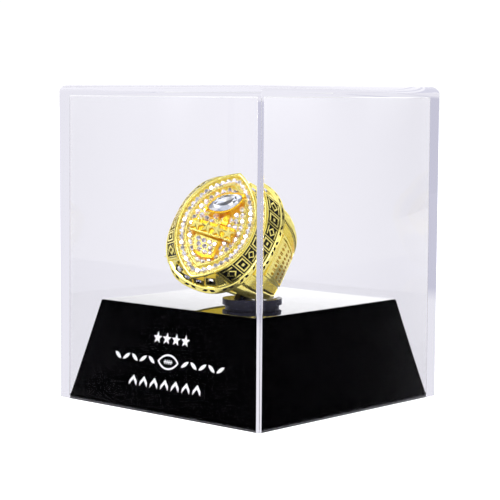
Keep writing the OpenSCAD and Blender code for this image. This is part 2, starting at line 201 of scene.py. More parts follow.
def crystalMaterial(name, light, dark, scale, roughness, metal=1.0, glowing=0.0):
    mat, nodes, links, shader, _ = newMaterial(name)
    coords = nodes.new("ShaderNodeTexCoord")
    cells = nodes.new("ShaderNodeTexVoronoi")
    cells.inputs["Scale"].default_value = scale
    links.new(coords.outputs["Object"], cells.inputs["Vector"])
    pick = nodes.new("ShaderNodeSeparateColor")
    links.new(cells.outputs["Color"], pick.inputs[0])
    tone = ramp(nodes, links, pick.outputs[0], [(0.0, dark), (0.35, light), (0.8, (1.0, 1.0, 1.0))])
    links.new(tone.outputs[0], shader.inputs["Base Color"])
    shader.inputs["Metallic"].default_value = metal
    shader.inputs["Roughness"].default_value = roughness
    # with glowing above zero the stones glow in their own colour: painted light
    links.new(tone.outputs[0], shader.inputs["Emission Color"])
    shader.inputs["Emission Strength"].default_value = glowing
    return mat


looks = {
    # lift makes a gold glow faintly in its own colour: painted light
    "gold": goldMaterial("polishedGold", (0.98, 0.87, 0.29), (0.94, 0.79, 0.19), 0.10, 0.2, lift=0.05),
    # darker, oranger copy of the gold for the pedestal, banner plate and stone setting: painted shade of the
    # relief, which also glows faintly
    "relief": goldMaterial("reliefGold", (0.98, 0.62, 0.05), (0.90, 0.45, 0.02), 0.14, 0.26, lift=0.03),
    # dark orange-brown copy of the gold for the banner's root and the shoulder marks: painted shade
    "paintedShadeGold": goldMaterial("paintedShadeRecessGold", (0.75, 0.42, 0.03), (0.45, 0.22, 0.01), 0.25, 0.4),
    "enamel": glossBlack("blackEnamel", (0.003, 0.003, 0.003), 0.15, 0.3, level=0.2),
    "recess": glossBlack("darkRecess", (0.012, 0.009, 0.004), 0.35, 0.6, level=0.15),
    "base": glossBlack("baseSides", (0.0004, 0.0004, 0.0005), 0.05, 0.09, level=0.0),
    "baseTop": glossBlack("baseTop", (0.0004, 0.0004, 0.0005), 0.015, 0.03, coat=1.0, level=0.8),
    "plate": glossBlack("plateEdge", (0.0006, 0.0006, 0.0007), 0.3, 0.45, level=0.0),
    "holder": glossBlack("holderBlack", (0.010, 0.010, 0.020), 0.16, 0.34, level=0.3),
    # the round stones glow faintly in their own colour: painted light
    "stone": crystalMaterial("roundStones", (0.86, 0.83, 0.92), (0.36, 0.32, 0.36), 2600, 0.04,
                             glowing=0.22),
    "endStone": crystalMaterial("endStones", (0.62, 0.60, 0.80), (0.03, 0.03, 0.09), 2600, 0.03),
    "bigStone": crystalMaterial("largeStone", (0.80, 0.83, 0.92), (0.42, 0.47, 0.60), 600, 0.03),
    # the two tones are the painted glow seen inside the cover's walls, darker and lighter
    "cover": clearMaterial("clearCover", (0.985, 0.984, 0.995), 1.49,
                           ((0.62, 0.615, 0.74, 1), (0.87, 0.86, 0.94, 1))),
}


def engravingMaterial():
    mat, nodes, links, shader, _ = newMaterial("frostedEngraving")
    cloud = noiseNode(nodes, links, 2200, 4.0, 0.7)
    tone = ramp(nodes, links, cloud.outputs["Fac"], [(0.35, (0.72, 0.72, 0.74)), (0.6, (0.95, 0.95, 0.96))])
    links.new(tone.outputs[0], shader.inputs["Base Color"])
    shader.inputs["Roughness"].default_value = 0.7
    # a faint glow in the engraving's own colour: painted light
    links.new(tone.outputs[0], shader.inputs["Emission Color"])
    shader.inputs["Emission Strength"].default_value = 0.05
    bumpFrom(nodes, links, cloud.outputs["Fac"], shader, 0.4, 0.00005)
    return mat


def steelMaterial():
    mat, nodes, links, shader, _ = newMaterial("screwSteel")
    cloud = noiseNode(nodes, links, 1500, 3.0)
    tone = ramp(nodes, links, cloud.outputs["Fac"], [(0.3, (0.42, 0.42, 0.44)), (0.7, (0.6, 0.6, 0.62))])
    links.new(tone.outputs[0], shader.inputs["Base Color"])
    shader.inputs["Metallic"].default_value = 1.0
    shader.inputs["Roughness"].default_value = 0.32
    return mat


looks["engraving"] = engravingMaterial()
looks["steel"] = steelMaterial()


# collects points and faces in millimetres
class Shape:
    def __init__(self):
        self.points = []
        self.faces = []

    def add(self, points, faces):
        start = len(self.points)
        self.points.extend(tuple(p) for p in points)
        self.faces.extend(tuple(i + start for i in f) for f in faces)


def makeMesh(name, shape, look, body, place=upright, smooth=None, merge=True):
    mesh = bpy.data.meshes.new(name)
    mesh.from_pydata([tuple((place @ Vector(p)) * mm) for p in shape.points], [], shape.faces)
    bm = bmesh.new()
    bm.from_mesh(mesh)
    if merge:
        bmesh.ops.remove_doubles(bm, verts=bm.verts, dist=1e-7)
    bmesh.ops.recalc_face_normals(bm, faces=bm.faces)
    bm.to_mesh(mesh)
    bm.free()
    if smooth is not None:
        mesh.shade_smooth()
        mesh.set_sharp_from_angle(angle=math.radians(smooth))
    mesh.materials.append(looks[look])
    thing = bpy.data.objects.new(name, mesh)
    bpy.context.scene.collection.objects.link(thing)
    if body:
        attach(thing, body)
    return thing


def gridFaces(rows, columns, closed):
    faces = []
    for r in range(rows - 1):
        for c in range(columns if closed else columns - 1):
            d = (c + 1) % columns
            faces.append((r * columns + c, r * columns + d, (r + 1) * columns + d, (r + 1) * columns + c))
    return faces


def applyModifiers(thing):
    graph = bpy.context.evaluated_depsgraph_get()
    done = bpy.data.meshes.new_from_object(thing.evaluated_get(graph))
    old = thing.data
    thing.modifiers.clear()
    thing.data = done
    bpy.data.meshes.remove(old)


def cutBy(thing, cutter):
    mod = thing.modifiers.new("cut", "BOOLEAN")
    mod.operation = "DIFFERENCE"
    mod.solver = "EXACT"
    mod.object = cutter
    bpy.context.view_layer.update()
    applyModifiers(thing)
    bpy.data.objects.remove(cutter, do_unlink=True)


# box with tapering sides, rounded upright edges and a rounded top
def roundedBox(low, high, height, floor, edgeRound, topRound, steps=4):
    shape = Shape()
    rows = []
    topAt = floor + height

    def ring(half, radius, z):
        points = []
        for corner in range(4):
            for i in range(steps + 1):
                a = math.radians(90 * corner + 90 * i / steps)
                sx = 1 if corner in (0, 3) else -1
                sy = 1 if corner in (0, 1) else -1
                points.append((sx * (half - radius) + radius * math.cos(a),
                               sy * (half - radius) + radius * math.sin(a), z))
        return points

    rows.append(ring(low, edgeRound, floor))
    sideTop = topAt - topRound
    part = (sideTop - floor) / height
    rows.append(ring(low + (high - low) * part, edgeRound, sideTop))
    for i in range(1, 7):
        a = math.radians(90 * i / 6)
        pull = topRound * (1 - math.cos(a))
        rows.append(ring(high - pull, max(edgeRound * 0.6, edgeRound + 0.4 * pull),
                         sideTop + topRound * math.sin(a)))
    n = len(rows[0])
    for row in rows:
        shape.points.extend(row)
    shape.faces.extend(gridFaces(len(rows), n, True))
    shape.faces.append(tuple(range(n))[::-1])
    shape.faces.append(tuple((len(rows) - 1) * n + i for i in range(n)))
    return shape


def buildCover(s):
    half = s["width"] / 2
    outer = makeMesh("clearCover", roundedBox(half, half, s["height"], 0, s["edgeRound"], s["topRound"]),
                     "cover", "case_cover", smooth=30)
    deep = s["height"] - s["topPanel"]
    inner = makeMesh("coverCavity", roundedBox(half - s["wallRim"] + 0.003, half - s["wallTop"],
                                               deep + 0.2, -0.2, s["innerRound"], 0.25, 3),
                     "cover", None)
    cutBy(outer, inner)
    outer.data.shade_smooth()
    outer.data.set_sharp_from_angle(angle=math.radians(30))
    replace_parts(outer, "cover")


buildCover(caseSizes)
print("cover made")


def bandSlab(shape, outer, inner, low, high):
    n = len(outer)
    points = [(x, y, z) for ring in (outer, inner) for z in (low, high) for x, y in ring]
    faces = []
    for i in range(n):
        j = (i + 1) % n
        faces += [(i, j, n + j, n + i), (2 * n + i, 3 * n + i, 3 * n + j, 2 * n + j),
                  (n + i, n + j, 3 * n + j, 3 * n + i), (i, 2 * n + i, 2 * n + j, j)]
    shape.add(points, faces)


def box(cx, cy, w, h):
    return [(cx - w / 2, cy - h / 2), (cx + w / 2, cy - h / 2), (cx + w / 2, cy + h / 2),
            (cx - w / 2, cy + h / 2)]


# an added edge, so that the gap beside the cover is narrower at the foot
plateLip = {"out": 0.08, "inward": 0.05, "corner": 0.2, "low": 0.01, "high": 0.3}


def buildBase(s, edge):
    shape = roundedBox(s["baseFoot"] / 2, s["baseTop"] / 2, s["baseHeight"] - s["plate"], s["plate"],
                       0.35, 0.25, 3)
    base = makeMesh("blackBase", shape, "base", "base", smooth=25)
    base.data.materials.append(looks["baseTop"])
    for face in base.data.polygons:
        if face.normal.z > 0.9:
            face.material_index = 1
    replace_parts(base, "base_shell")
    lip = Shape()
    rings = []
    for half in (s["baseFoot"] / 2 + edge["out"], s["baseFoot"] / 2 - edge["inward"]):
        low, high = edge["corner"] - half, half - edge["corner"]
        rings.append([(low, -half), (high, -half), (half, low), (half, high), (high, half), (low, half),
                      (-half, high), (-half, low)])
    bandSlab(lip, rings[0], rings[1], edge["low"], edge["high"])
    makeMesh("plateLip", lip, "plate", "base")


buildBase(caseSizes, plateLip)
for nodeName, look in {"bottom_plate": "plate", "plate_screws": "steel", "holder_screw": "steel",
                       "holder_seat": "holder", "holder_tongue": "holder"}.items():
    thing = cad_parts[nodeName]
    thing.data.materials.clear()
    thing.data.materials.append(looks[look])
    if nodeName.startswith("holder_s") or nodeName == "holder_tongue":
        soften = thing.modifiers.new("edges", "BEVEL")
        soften.width = 0.00018
        soften.segments = 3
        soften.limit_method = "ANGLE"
        soften.angle_limit = math.radians(40)

engraving = {"height": 2.7, "pitch": 4.9, "middle": 10.3, "shift": 0.7, "proud": 0.03}


def ovalPoints(a, b, n=12):
    r = (a * a + b * b) / (2 * b)
    t = math.asin(a / r)
    right = [(r * math.cos(t * (2 * i / n - 1)) - (r - b),
              r * math.sin(t * (2 * i / n - 1))) for i in range(n + 1)]
    left = [(-x, y) for x, y in right[-2:0:-1]]
    return right + left


def starPoints(radius):
    return [((radius if i % 2 == 0 else radius * 0.42) * math.sin(math.radians(36 * i)),
             (radius if i % 2 == 0 else radius * 0.42) * math.cos(math.radians(36 * i))) for i in range(10)]


def spun(points, degrees, dx=0.0, dy=0.0):
    c, s = math.cos(math.radians(degrees)), math.sin(math.radians(degrees))
    return [(x * c - y * s + dx, x * s + y * c + dy) for x, y in points]


def slab(shape, outline, low, high):
    n = len(outline)
    ends = [tuple(range(n))[::-1], tuple(range(n, 2 * n))]
    walls = [(i, (i + 1) % n, n + (i + 1) % n, n + i) for i in range(n)]
    shape.add([(x, y, low) for x, y in outline] + [(x, y, high) for x, y in outline], ends + walls)


def buildEngraving(e, s):
    h = e["height"]
    slope = math.degrees(math.atan((s["baseFoot"] - s["baseTop"]) / 2 / (s["baseHeight"] - s["plate"])))
    face = Matrix.Translation((0, -s["baseFoot"] / 2, s["plate"])) @ turn("X", 90 - slope)
    rows = {"engraved_stars": 1, "engraved_football": 0, "engraved_chevrons": -1}
    names = {"engraved_stars": "engravedStars", "engraved_football": "engravedFootball",
             "engraved_chevrons": "engravedChevrons"}
    for node, step in rows.items():
        shape = Shape()
        if step == 1:
            for i in (-1.5, -0.5, 0.5, 1.5):
                slab(shape, spun(starPoints(h / 2), 0, i * h * 1.03), -0.1, e["proud"])
        elif step == 0:
            bandSlab(shape, spun(ovalPoints(h * 1.15, h * 0.62), 90),
                     spun(ovalPoints(h * 0.98, h * 0.48), 90), -0.1, e["proud"])
            slab(shape, box(0, 0, h * 0.95, h * 0.09), -0.1, e["proud"])
            for i in (-1.5, -0.5, 0.5, 1.5):
                slab(shape, box(i * h * 0.22, 0, h * 0.08, h * 0.34), -0.1, e["proud"] + 0.005)
            for side in (-1, 1):
                for i in range(5):
                    lean = 90 + side * (35 if i % 2 == 0 else -35)
                    slab(shape, spun(ovalPoints(h * 0.46, h * 0.15, 6), lean,
                                     side * h * (1.85 + i * 0.96)), -0.1, e["proud"])
        else:
            mark = [(-0.42, -0.42), (0, 0.08), (0.42, -0.42), (0.42, -0.08), (0, 0.42), (-0.42, -0.08)]
            for i in range(-3, 4):
                slab(shape, [(i * h * 1.18 + x * h, y * h) for x, y in mark], -0.1, e["proud"])
        place = face @ Matrix.Translation((e["shift"], e["middle"] + step * e["pitch"], 0))
        row = makeMesh(names[node], shape, "engraving", "base", place, merge=False)
        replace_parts(row, node)


buildEngraving(engraving, caseSizes)
print("base and engraving made")


# distance from the middle to a pointed oval's edge, half length a along Y
def ovalRadius(angle, a, b):
    r = (a * a + b * b) / (2 * b)
    c = r - b
    k = abs(math.cos(angle))
    return -c * k + math.sqrt(c * c * k * k + r * r - c * c)


def skirtRadius(angle, grow=0.0):
    s = ringSizes
    p = s["skirtPower"]
    a, b = s["skirtWidth"] + grow, s["skirtLength"] + grow
    return (abs(math.cos(angle) / a) ** p + abs(math.sin(angle) / b) ** p) ** (-1 / p)


# the flange stands out less along the left long side
def flangeGrow(angle, grow):
    if grow <= 0.05:
        return grow
    left = max(0.0, min(1.0, (-math.cos(angle) - 0.35) / 0.3))
    return 0.05 + (grow - 0.05) * (1 - 0.75 * left)


# point on one long side of the skirt; y is along the finger, t runs from 0 at the bezel to 1 at the border
def wallPoint(side, y, t, lift=0.0):
    s = ringSizes
    r = (s["ovalLength"] ** 2 + s["ovalWidth"] ** 2) / (2 * s["ovalWidth"])
    yTop = min(abs(y), s["ovalLength"] - 0.01)
    xTop = math.sqrt(r * r - yTop * yTop) - (r - s["ovalWidth"])
    left = max(0.0, 1 - abs(y / s["skirtLength"]) ** s["skirtPower"])
    xLow = s["skirtWidth"] * left ** (1 / s["skirtPower"])
    x = xTop + (xLow - xTop) * t
    z = s["skirtTop"] + (s["skirtLevel"] + 0.1 - s["skirtTop"]) * t
    drop = s["skirtTop"] - s["skirtLevel"] - 0.1
    run = xLow - xTop
    size = math.hypot(drop, run)
    return (side * (x + lift * drop / size), y, z + lift * run / size)


bandShape = {
    "angles": [0, 30, 42, 55, 68, 80, 92, 105, 118, 132, 150, 180],
    "outer": [11.8, 12.0, 12.2, 12.0, 11.8, 11.7, 11.8, 12.1, 12.4, 12.3, 12.0, 11.75],
    "half": [10.4, 10.4, 10.3, 9.95, 9.4, 8.7, 8.0, 6.9, 6.3, 6.05, 5.9, 5.8],
}


def between(table, angle):
    xs, ys = bandShape["angles"], bandShape[table]
    angle = min(max(angle, xs[0]), xs[-1])
    for i in range(len(xs) - 1):
        if angle <= xs[i + 1]:
            t = (angle - xs[i]) / (xs[i + 1] - xs[i])
            t = t * t * (3 - 2 * t) * 0.5 + t * 0.5
            return ys[i] + (ys[i + 1] - ys[i]) * t
    return ys[-1]


# point on the outside of the band; angle 0 is under the face and 180 the back, across is -1 to 1
def bandPoint(side, angle, across, lift=0.0):
    half = between("half", angle)
    crown = 0.35 * (1 - across * across)
    r = between("outer", angle) - 0.35 + crown + lift
    a = math.radians(angle)
    return (side * r * math.sin(a), across * half, r * math.cos(a))


def buildHead():
    s = ringSizes
    shape = Shape()
    count = 160
    rows = [("oval", -0.45, s["bed"]), ("oval", -0.4, 13.85), ("oval", 0.0, s["skirtTop"])]
    rows += [("blend", t, sink) for t, sink in (
        (0.03, 0), (0.045, -0.35), (0.2, -0.4), (0.4, -0.4), (0.6, -0.4),
        (0.8, -0.4), (0.955, -0.35), (0.97, 0), (1.0, 0))]
    rows += [("skirt", grow, level) for grow, level in (
        (0.0, 10.02), (-0.1, 9.98), (-0.1, 9.8), (0.05, 9.78), (0.7, 9.05),
        (0.78, 8.92), (0.76, 8.72), (0.55, 8.52), (-0.6, 8.1), (-2.6, 7.3))]
    for kind, value, level in rows:
        z, sink = level, level
        for i in range(count):
            a = 2 * math.pi * i / count
            if kind == "oval":
                r = ovalRadius(a, s["ovalLength"] + value * 1.3, s["ovalWidth"] + value)
            elif kind == "skirt":
                r = skirtRadius(a, flangeGrow(a, value))
            else:
                top = ovalRadius(a, s["ovalLength"], s["ovalWidth"])
                r = top * (1 - value) + skirtRadius(a) * value + sink
                z = s["skirtTop"] + (s["skirtLevel"] + 0.1 - s["skirtTop"]) * value
            shape.points.append((r * math.cos(a), r * math.sin(a), z))
    shape.faces.extend(gridFaces(len(rows), count, True))
    shape.faces.append(tuple(range(count)))
    shape.faces.append(tuple((len(rows) - 1) * count + i for i in range(count))[::-1])
    head = makeMesh("ringHead", shape, "gold", "ring", ringMatrix)
    bore = Shape()
    steps = 96
    for y in (-11.4, 11.4):
        for i in range(steps):
            a = 2 * math.pi * i / steps
            bore.points.append((s["bore"] * math.sin(a), y, s["bore"] * math.cos(a)))
    bore.faces = gridFaces(2, steps, True) + [tuple(range(steps))[::-1], tuple(range(steps, 2 * steps))]
    cutBy(head, makeMesh("boreCutter", bore, "gold", None, ringMatrix))
    head.data.shade_smooth()
    head.data.set_sharp_from_angle(angle=math.radians(28))
    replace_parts(head, "ring_head")


def buildBand():
    s = ringSizes
    shape = Shape()
    profile = [(-0.93, "in", 0.0), (-0.5, "in", 0.0), (0.0, "in", 0.0), (0.5, "in", 0.0), (0.96, "in", 0.0),
               (0.995, "in", 0.1), (1.005, "in", 0.4), (1.005, "in", 0.9),
               (1.0, "out", -0.6), (0.99, "out", -0.3), (0.96, "out", -0.08),
               (0.92, "out", 0.02), (0.86, "out", 0.02), (0.84, "out", -0.05)]
    middle = [0.82, 0.6, 0.3, 0.0]
    outline = profile + [(v, "panel", 0) for v in middle] + [(-v, "panel", 0) for v in middle[-2::-1]]
    outline += [(-v, k, h) for v, k, h in profile[::-1] if not (k == "in" and abs(v) < 0.96)]
    steps = 96
    first, last = 36, 324
    for i in range(steps + 1):
        angle = first + (last - first) * i / steps
        side, a = (1, angle) if angle <= 180 else (-1, 360 - angle)
        sink = 0.28 * max(0.0, min(1.0, (132 - a) / 10.0))
        # the left front edge is a little narrower beside the head
        tuck = 0.9 * max(0.0, min(1.0, (a - 44) / 10.0, (112 - a) / 20.0)) if side < 0 else 0.0
        for v, kind, lift in outline:
            if v < -0.83:
                v = -0.83 + (v + 0.83) * (1 - tuck)
            if kind == "in":
                half = between("half", a)
                rad = math.radians(a)
                r = s["bore"] + lift
                shape.points.append((side * r * math.sin(rad), v * half, r * math.cos(rad)))
            else:
                shape.points.append(bandPoint(side, a, v, lift if kind == "out" else -sink))
    n = len(outline)
    shape.faces = gridFaces(steps + 1, n, True)
    shape.faces += [tuple(range(n))[::-1], tuple(steps * n + i for i in range(n))]
    band = makeMesh("ringBand", shape, "gold", "ring", ringMatrix, smooth=35)
    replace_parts(band, "ring_band")


# rounded rim that follows a pointed oval
def ovalTube(name, length, width, thick, low, high, nodeName, look="gold"):
    shape = Shape()
    count = 160
    tall = high - low
    profile = [(0.0, 0.0), (0.0, 0.7), (0.1, 0.9), (0.3, 1.0), (0.7, 1.0), (0.9, 0.9), (1.0, 0.7),
               (1.0, 0.0)]
    for inward, up in profile:
        for i in range(count):
            a = 2 * math.pi * i / count
            r = ovalRadius(a, length - inward * thick * 1.45, width - inward * thick)
            shape.points.append((r * math.cos(a), r * math.sin(a), low + up * tall))
    shape.faces = gridFaces(len(profile), count, True)
    shape.faces += [(7 * count + i, 7 * count + (i + 1) % count, (i + 1) % count, i) for i in range(count)]
    rim = makeMesh(name, shape, look, "ring", ringMatrix, smooth=40)
    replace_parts(rim, nodeName)


# thin raised line at the foot of the skirt with a row of small blocks under it
def buildBorder():
    shape = Shape()
    count = 160
    profile = [(-0.2, 10.1), (0.2, 10.08), (0.33, 10.0), (0.35, 9.92), (0.3, 9.84), (0.1, 9.8), (-0.2, 9.8)]
    for grow, z in profile:
        for i in range(count):
            a = 2 * math.pi * i / count
            r = skirtRadius(a, grow)
            shape.points.append((r * math.cos(a), r * math.sin(a), z))
    shape.faces = gridFaces(len(profile), count, True)
    shape.faces += [(6 * count + i, 6 * count + (i + 1) % count, (i + 1) % count, i) for i in range(count)]
    border = makeMesh("skirtBorder", shape, "gold", "ring", ringMatrix, smooth=40, merge=False)
    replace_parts(border, "skirt_border")
    dark = Shape()
    marks = 58
    for i in range(marks):  # slanted black cuts in the sloping band, two and a gap
        if i % 3 == 2:
            continue
        a0 = 2 * math.pi * (i + 0.1) / marks
        wide = 2 * math.pi * 0.62 / marks
        skew = 2 * math.pi * (0.2 if i % 3 == 0 else -0.2) / marks
        points = []
        for lift in (-0.05, 0.03):
            for a, grow in ((a0 + skew, 0.14), (a0 + skew + wide, 0.14), (a0 - skew + wide, 0.56),
                            (a0 - skew, 0.56)):
                r = skirtRadius(a, flangeGrow(a, grow)) + lift * 0.75
                points.append((r * math.cos(a), r * math.sin(a), 9.78 - (grow - 0.05) * 1.123 + lift * 0.66))
        walls = [(k, (k + 1) % 4, 4 + (k + 1) % 4, 4 + k) for k in range(4)]
        dark.add(points, [(0, 3, 2, 1), (4, 5, 6, 7)] + walls)
    start = len(dark.points)
    for grow, z in [(-0.3, 9.83), (-0.02, 9.83), (-0.02, 9.72), (-0.3, 9.72)]:
        for i in range(count):
            a = 2 * math.pi * i / count
            r = skirtRadius(a, grow)
            dark.points.append((r * math.cos(a), r * math.sin(a), z))
    tube = gridFaces(4, count, True)
    tube += [(3 * count + i, 3 * count + (i + 1) % count, (i + 1) % count, i) for i in range(count)]
    dark.faces += [tuple(start + k for k in face) for face in tube]
    makeMesh("borderRecess", dark, "recess", "ring", ringMatrix, smooth=40, merge=False)


buildHead()
buildBand()
ovalTube("bezelRim", ringSizes["ovalLength"], ringSizes["ovalWidth"], 0.55, ringSizes["bed"] - 0.1,
         ringSizes["rimTop"], "bezel_rim")
ovalTube("innerRim", ringSizes["innerLength"], ringSizes["innerWidth"], 0.42, ringSizes["bed"] - 0.1,
         ringSizes["rimTop"], "inner_rim")
buildBorder()
print("ring head, band and rims made")


stoneCut = {
    "round": 1.36, "pitch": 1.3, "crown": 0.36, "table": 0.55,
    "paveRound": 1.3, "pavePitch": 1.4, "paveRow": 1.34,
}
dice = random.Random(24)


# small brilliant: girdle, kite facets and a flat table
def roundStone(shape, x, y, z, diameter, lean=None, sides=8):
    r = diameter / 2
    spin = dice.uniform(0, 360)
    tilt = (turn("X", dice.uniform(-7, 7)) @ turn("Y", dice.uniform(-7, 7)))
    place = Matrix.Translation((x, y, z)) @ (lean or upright) @ tilt @ turn("Z", spin)
    h = stoneCut["crown"] * diameter
    rings = [(r, 0.0, 0, sides * 2), (r * 0.8, h * 0.55, 0.5, sides), (r * stoneCut["table"], h, 0, sides)]
    points = [place @ Vector((r * 0.9 * math.cos(math.pi * i / sides),
                              r * 0.9 * math.sin(math.pi * i / sides), -0.25))
              for i in range(sides * 2)]
    starts = [0]
    for radius, up, shift, count in rings:
        starts.append(len(points))
        for i in range(count):
            a = 2 * math.pi * (i + shift) / count
            points.append(place @ Vector((radius * math.cos(a), radius * math.sin(a), up)))
    base, girdle, kite, table = starts
    n2 = sides * 2
    faces = [(base + i, base + (i + 1) % n2, girdle + (i + 1) % n2, girdle + i) for i in range(n2)]
    for i in range(sides):
        j = (i + 1) % sides
        k = (i - 1) % sides
        faces.append((girdle + 2 * i, girdle + 2 * i + 1, kite + i))
        faces.append((girdle + 2 * i + 1, girdle + (2 * i + 2) % n2, kite + i))
        faces.append((girdle + 2 * i, kite + i, table + i))
        faces.append((girdle + 2 * i, table + i, kite + k))
        faces.append((table + i, kite + i, table + j))
    faces.append(tuple(table + i for i in range(sides)))
    shape.add(points, faces)


def bead(shape, x, y, z, radius, sides=6):
    points = [(x + radius * math.cos(2 * math.pi * i / sides),
               y + radius * math.sin(2 * math.pi * i / sides), z - 0.1)
              for i in range(sides)]
    points += [(x + radius * 0.75 * math.cos(2 * math.pi * i / sides),
                y + radius * 0.75 * math.sin(2 * math.pi * i / sides),
                z + radius * 0.75) for i in range(sides)]
    points.append((x, y, z + radius * 1.15))
    faces = [(i, (i + 1) % sides, sides + (i + 1) % sides, sides + i) for i in range(sides)]
    faces += [(sides + i, sides + (i + 1) % sides, 2 * sides) for i in range(sides)]
    shape.add(points, faces)


# evenly spaced places along a pointed oval
def alongOval(length, width, pitch, phase=0.0):
    r = (length ** 2 + width ** 2) / (2 * width)
    reach = math.asin(length / r)
    count = int(2 * reach * r / pitch)
    places = []
    for side in (1, -1):
        for i in range(count):
            t = reach * (2 * (i + 0.5 + phase) / count - 1)
            if abs(t) <= reach:
                places.append((side * (r * math.cos(t) - (r - width)), r * math.sin(t)))
    return places


trophy = {
    "stoneCentre": (0.2, 4.9), "stoneLean": -49, "stoneHalfLength": 4.3, "stoneHalfWidth": 1.85,
    "pedestalOuter": [(-3.3, -3.3), (2.9, -3.3), (2.75, -7.4), (0.4, -7.9), (-1.9, -7.4)],
}


# true within margin of a convex outline given in order round its edge
def insideOutline(x, y, outline, margin):
    area = sum(outline[i - 1][0] * outline[i][1] - outline[i][0] * outline[i - 1][1]
               for i in range(len(outline)))
    turned = 1 if area > 0 else -1
    for i in range(len(outline)):
        (x0, y0), (x1, y1) = outline[i - 1], outline[i]
        away = ((y - y0) * (x1 - x0) - (x - x0) * (y1 - y0)) / math.hypot(x1 - x0, y1 - y0)
        if turned * away < -margin:
            return False
    return True


def offTrophy(x, y, margin):
    banner = [(-5.0, -3.4), (5.0, -2.8), (5.0, 0.3), (-5.0, -0.3)]
    if insideOutline(x, y, banner, margin) or insideOutline(x, y, trophy["pedestalOuter"], margin * 0.8):
        return False
    cx, cy = trophy["stoneCentre"]
    c, s = math.cos(math.radians(41)), math.sin(math.radians(41))
    u, v = (x - cx) * c + (y - cy) * s, -(x - cx) * s + (y - cy) * c
    if math.hypot(u, v) < ovalRadius(math.atan2(u, v), trophy["stoneHalfLength"] + 0.5,
                                     trophy["stoneHalfWidth"] + 0.35) + margin:
        return False
    return not (abs(x - 1.7) < 0.7 + margin and 0 < y < 3.2)


def buildStones(cut):
    s = ringSizes
    bed = s["bed"]
    halo, beads, pave = Shape(), Shape(), Shape()
    midLength = (s["ovalLength"] - 0.8 + s["innerLength"]) / 2
    midWidth = (s["ovalWidth"] - 0.55 + s["innerWidth"]) / 2
    for x, y in alongOval(midLength, midWidth, cut["pitch"]):
        roundStone(halo, x, y, bed + 0.26, cut["round"])
    for grow in (0.6, -0.6):
        for x, y in alongOval(midLength + grow * 1.35, midWidth + grow, cut["pitch"], 0.5):
            bead(beads, x, y, bed + 0.3, 0.2)
    for k in range(6):
        length = s["innerLength"] - 1.35 - k * cut["paveRow"] * 1.3
        width = s["innerWidth"] - 0.98 - k * cut["paveRow"]
        if width < 0.4:
            break
        for x, y in alongOval(length, width, cut["pavePitch"], 0.25 * (k % 2)):
            if offTrophy(x, y, -0.15):
                roundStone(pave, x, y, bed + 0.24, cut["paveRound"])
        for grow in (0.35, -0.35):
            for x, y in alongOval(length + grow * 2.2, width + grow * 1.7, cut["pavePitch"],
                                  0.5 + 0.25 * (k % 2)):
                if offTrophy(x, y, 0.0):
                    bead(beads, x, y, bed + 0.3, 0.19)
    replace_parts(makeMesh("haloStones", halo, "stone", "ring", ringMatrix, merge=False),
                "halo_stones")
    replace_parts(makeMesh("paveStones", pave, "stone", "ring", ringMatrix, merge=False),
                "pave_stones")
    makeMesh("stoneBeads", beads, "gold", "ring", ringMatrix, smooth=60, merge=False)
    pedestal = Shape()
    for px, py in [(-2.2, -4.25), (-0.85, -4.3), (0.5, -4.3), (1.75, -4.35), (-1.6, -5.4), (-0.2, -5.45),
                   (1.15, -5.45), (-1.0, -6.5), (0.35, -6.65), (1.65, -6.5)]:
        roundStone(pedestal, px, py, bed + 1.02, 1.15)
    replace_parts(makeMesh("pedestalStones", pedestal, "stone", "ring", ringMatrix,
                         merge=False), "pedestal_stones")
    ends, seats, wells = Shape(), Shape(), Shape()
    for end in (-1, 1):
        for x in (-4.0, -1.35, 1.35, 4.0):
            side = math.atan2(end * 12.4, x)
            r = 0.5 * (ovalRadius(side, s["ovalLength"], s["ovalWidth"]) + skirtRadius(side))
            px, py = r * math.cos(side), r * math.sin(side)
            flare = skirtRadius(side) - ovalRadius(side, s["ovalLength"], s["ovalWidth"])
            fall = -end * math.degrees(math.atan2(3.8, flare))
            lean = turn("Z", math.degrees(side) - 90 * end) @ turn("X", fall)
            place = Matrix.Translation((px, py, 11.95)) @ lean
            if end > 0:
                place = place @ Matrix.Translation((0, 0, -0.4))
            low = place @ Vector((0, 0, -0.4))
            roundStone(ends, low.x, low.y, low.z, 1.85, lean)
            ring, well = Shape(), Shape()
            bandSlab(ring, box(0, 0, 2.45, 2.45), box(0, 0, 2.0, 2.0), -0.7, 0.1)
            slab(well, box(0, 0, 2.1, 2.1), -0.7, -0.12)
            seats.add([place @ Vector(p) for p in ring.points], ring.faces)
            wells.add([place @ Vector(p) for p in well.points], well.faces)
    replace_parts(makeMesh("endStones", ends, "endStone", "ring", ringMatrix, merge=False),
                "end_stones")
    makeMesh("endStoneSeats", seats, "gold", "ring", ringMatrix, merge=False)
    makeMesh("endStoneWells", wells, "recess", "ring", ringMatrix, merge=False)


buildStones(stoneCut)
print("stones made")


# slab with a sloped upper edge, so that it catches the light
def softSlab(shape, outline, low, high, soft=0.18):
    n = len(outline)
    cx = sum(p[0] for p in outline) / n
    cy = sum(p[1] for p in outline) / n
    size = max(math.hypot(x - cx, y - cy) for x, y in outline)
    k1, k2 = 1 - soft * 0.3 / size, 1 - soft / size
    rows = [(1, low), (1, high - soft), (k1, high - soft * 0.35), (k2, high)]
    points = [(cx + (x - cx) * k, cy + (y - cy) * k, z) for k, z in rows for x, y in outline]
    faces = gridFaces(4, n, True) + [tuple(range(n))[::-1], tuple(range(3 * n, 4 * n))]
    shape.add(points, faces)


